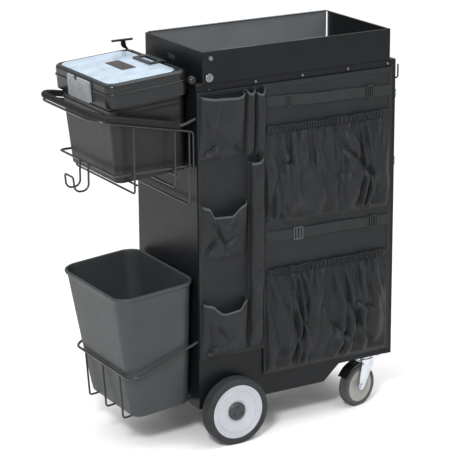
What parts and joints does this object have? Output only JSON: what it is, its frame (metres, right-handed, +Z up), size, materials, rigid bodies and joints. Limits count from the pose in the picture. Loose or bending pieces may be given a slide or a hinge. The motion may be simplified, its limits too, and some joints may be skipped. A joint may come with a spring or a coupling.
{
  "type": "housekeeping cart",
  "caption": "Housekeeping cart with a steel cabinet, top tray, fabric pocket organiser, wire basket with lidded toolbox, wastebasket in a wire holder, big wheels and swivel casters.",
  "frame": {"origin": "on the floor, in the middle of the whole cart's footprint", "axes": "+X along the cart from the handle end to the caster end, +Y from the organiser side to the open side, +Z up"},
  "size_m": [1.018, 0.46, 1.178],
  "materials": {
    "cabinet": "satin powder coat, fine texture",
    "shelf": "satin powder coat",
    "flap": "satin powder coat",
    "fastener": "black satin",
    "nameplate": "satin",
    "chromed": "polished plate",
    "black_steel": "semi-gloss black",
    "black_plastic": "matte",
    "ring_wire": "black satin",
    "zinc": "bright zinc plate",
    "wheel_rim": "smooth moulded light grey",
    "wheel_tyre": "matt grey rubber",
    "hub_plastic": "matte",
    "caster_rim": "smooth moulded grey",
    "caster_tyre": "matt grey rubber",
    "wire": "dark epoxy-coated wire",
    "grip": "matte foam",
    "bin_plastic": "fine texture",
    "box_plastic": "fine texture",
    "window": "gloss",
    "latch_plastic": "satin",
    "cloth": "woven polyester",
    "webbing": "woven webbing"
  },
  "bodies": {
    "cart": {"axle": "zinc", "axle_brackets": "black_steel", "bag_arm": "black_steel", "ball_knob": "black_steel", "band_buckles": "black_plastic", "base_pan": "cabinet", "basket_rail": "wire", "basket_rim": "wire", "basket_wires": "wire", "cam_lock_body": "chromed", "caster_bolts": "zinc", "caster_plates": "zinc", "d_ring_tabs": "black_plastic", "end_hook": "black_steel", "flap_hinge": "flap", "front_hub_cap": "hub_plastic", "front_panel": "cabinet", "gathered_pockets": "cloth", "handle_grip": "grip", "handle_rod": "wire", "hook_wire": "wire", "left_end_panel": "cabinet", "name_plate": "nameplate", "organiser_panel": "cloth", "panel_fasteners": "fastener", "pouch_pockets": "cloth", "rear_hub_cap": "hub_plastic", "right_end_panel": "cabinet", "shelves": "shelf", "tray_deck": "cabinet", "tray_front_panel": "cabinet", "tray_left_panel": "cabinet", "tray_right_panel": "cabinet", "tube_pockets": "cloth", "wastebasket_holder": "wire", "webbing_bands": "webbing"},
    "front_wheel": {"front_wheel_rim": "wheel_rim", "front_wheel_tyre": "wheel_tyre"},
    "rear_wheel": {"rear_wheel_rim": "wheel_rim", "rear_wheel_tyre": "wheel_tyre"},
    "front_swivel": {"front_caster_fork": "zinc", "front_caster_axle": "zinc"},
    "rear_swivel": {"rear_caster_fork": "zinc", "rear_caster_axle": "zinc"},
    "front_caster_wheel": {"front_caster_rim": "caster_rim", "front_caster_tyre": "caster_tyre"},
    "rear_caster_wheel": {"rear_caster_rim": "caster_rim", "rear_caster_tyre": "caster_tyre"},
    "front_brake": {"front_brake_pedal": "black_steel"},
    "rear_brake": {"rear_brake_pedal": "black_steel"},
    "back_flap": {"tray_back_flap": "flap"},
    "lock_plug": {"cam_lock_plug": "chromed"},
    "toolbox": {"toolbox_body": "box_plastic"},
    "lid": {"toolbox_lid": "box_plastic", "toolbox_window": "window"},
    "latch": {"toolbox_latch": "latch_plastic"},
    "carry_handle": {"toolbox_handle": "black_plastic"},
    "wastebasket": {"wastebasket": "bin_plastic"},
    "upper_ring": {"upper_d_ring": "ring_wire"},
    "lower_ring": {"lower_d_ring": "ring_wire"}
  },
  "joints": [
    {"name": "front_wheel_spin", "type": "hinge", "parent": "cart", "child": "front_wheel", "pos_m": [-0.0805, -0.209, 0.1016], "axis": [0, 1, 0], "continuous": true},
    {"name": "rear_wheel_spin", "type": "hinge", "parent": "cart", "child": "rear_wheel", "pos_m": [-0.0805, 0.209, 0.1016], "axis": [0, 1, 0], "continuous": true},
    {"name": "front_caster_swivel", "type": "hinge", "parent": "cart", "child": "front_swivel", "pos_m": [0.4225, -0.134, 0.14], "axis": [0, 0, 1], "continuous": true},
    {"name": "rear_caster_swivel", "type": "hinge", "parent": "cart", "child": "rear_swivel", "pos_m": [0.4225, 0.134, 0.14], "axis": [0, 0, 1], "continuous": true},
    {"name": "front_caster_spin", "type": "hinge", "parent": "front_swivel", "child": "front_caster_wheel", "pos_m": [0.39339, -0.14126, 0.0635], "axis": [-0.2419, 0.9703, 0], "continuous": true},
    {"name": "rear_caster_spin", "type": "hinge", "parent": "rear_swivel", "child": "rear_caster_wheel", "pos_m": [0.39296, 0.13921, 0.0635], "axis": [0.1736, 0.9848, 0], "continuous": true},
    {"name": "front_brake_press", "type": "hinge", "parent": "front_swivel", "child": "front_brake", "pos_m": [0.39921, -0.13981, 0.134], "axis": [0.2419, -0.9703, 0], "range_deg": [0, 4.5]},
    {"name": "rear_brake_press", "type": "hinge", "parent": "rear_swivel", "child": "rear_brake", "pos_m": [0.39887, 0.13817, 0.134], "axis": [-0.1736, -0.9848, 0], "range_deg": [0, 4.5]},
    {"name": "back_flap_fold", "type": "hinge", "parent": "cart", "child": "back_flap", "pos_m": [0.1545, 0.1575, 1.092], "axis": [-1, 0, 0], "range_deg": [0, 175]},
    {"name": "lock_turn", "type": "hinge", "parent": "cart", "child": "lock_plug", "pos_m": [-0.1415, -0.18, 1.101], "axis": [0, -1, 0], "range_deg": [0, 90]},
    {"name": "toolbox_lift", "type": "slide", "parent": "cart", "child": "toolbox", "axis": [-0.0698, 0, 0.9976], "range_m": [0, 0.25]},
    {"name": "lid_open", "type": "hinge", "parent": "toolbox", "child": "lid", "pos_m": [-0.19999, 0.012, 1.07551], "axis": [0, 1, 0], "range_deg": [0, 35]},
    {"name": "latch_open", "type": "hinge", "parent": "lid", "child": "latch", "pos_m": [-0.4542, 0.012, 1.09984], "axis": [0, 1, 0], "range_deg": [0, 90]},
    {"name": "carry_handle_raise", "type": "hinge", "parent": "lid", "child": "carry_handle", "pos_m": [-0.20409, 0.012, 1.12981], "axis": [0, 1, 0], "range_deg": [0, 90]},
    {"name": "wastebasket_lift", "type": "slide", "parent": "cart", "child": "wastebasket", "axis": [-0.0872, 0, 0.9962], "range_m": [0, 0.2]},
    {"name": "upper_ring_swing", "type": "hinge", "parent": "cart", "child": "upper_ring", "pos_m": [0.497, -0.166, 0.985], "axis": [0, -1, 0], "range_deg": [0, 90]},
    {"name": "lower_ring_swing", "type": "hinge", "parent": "cart", "child": "lower_ring", "pos_m": [0.497, -0.166, 0.779], "axis": [0, -1, 0], "range_deg": [0, 90]}
  ]
}
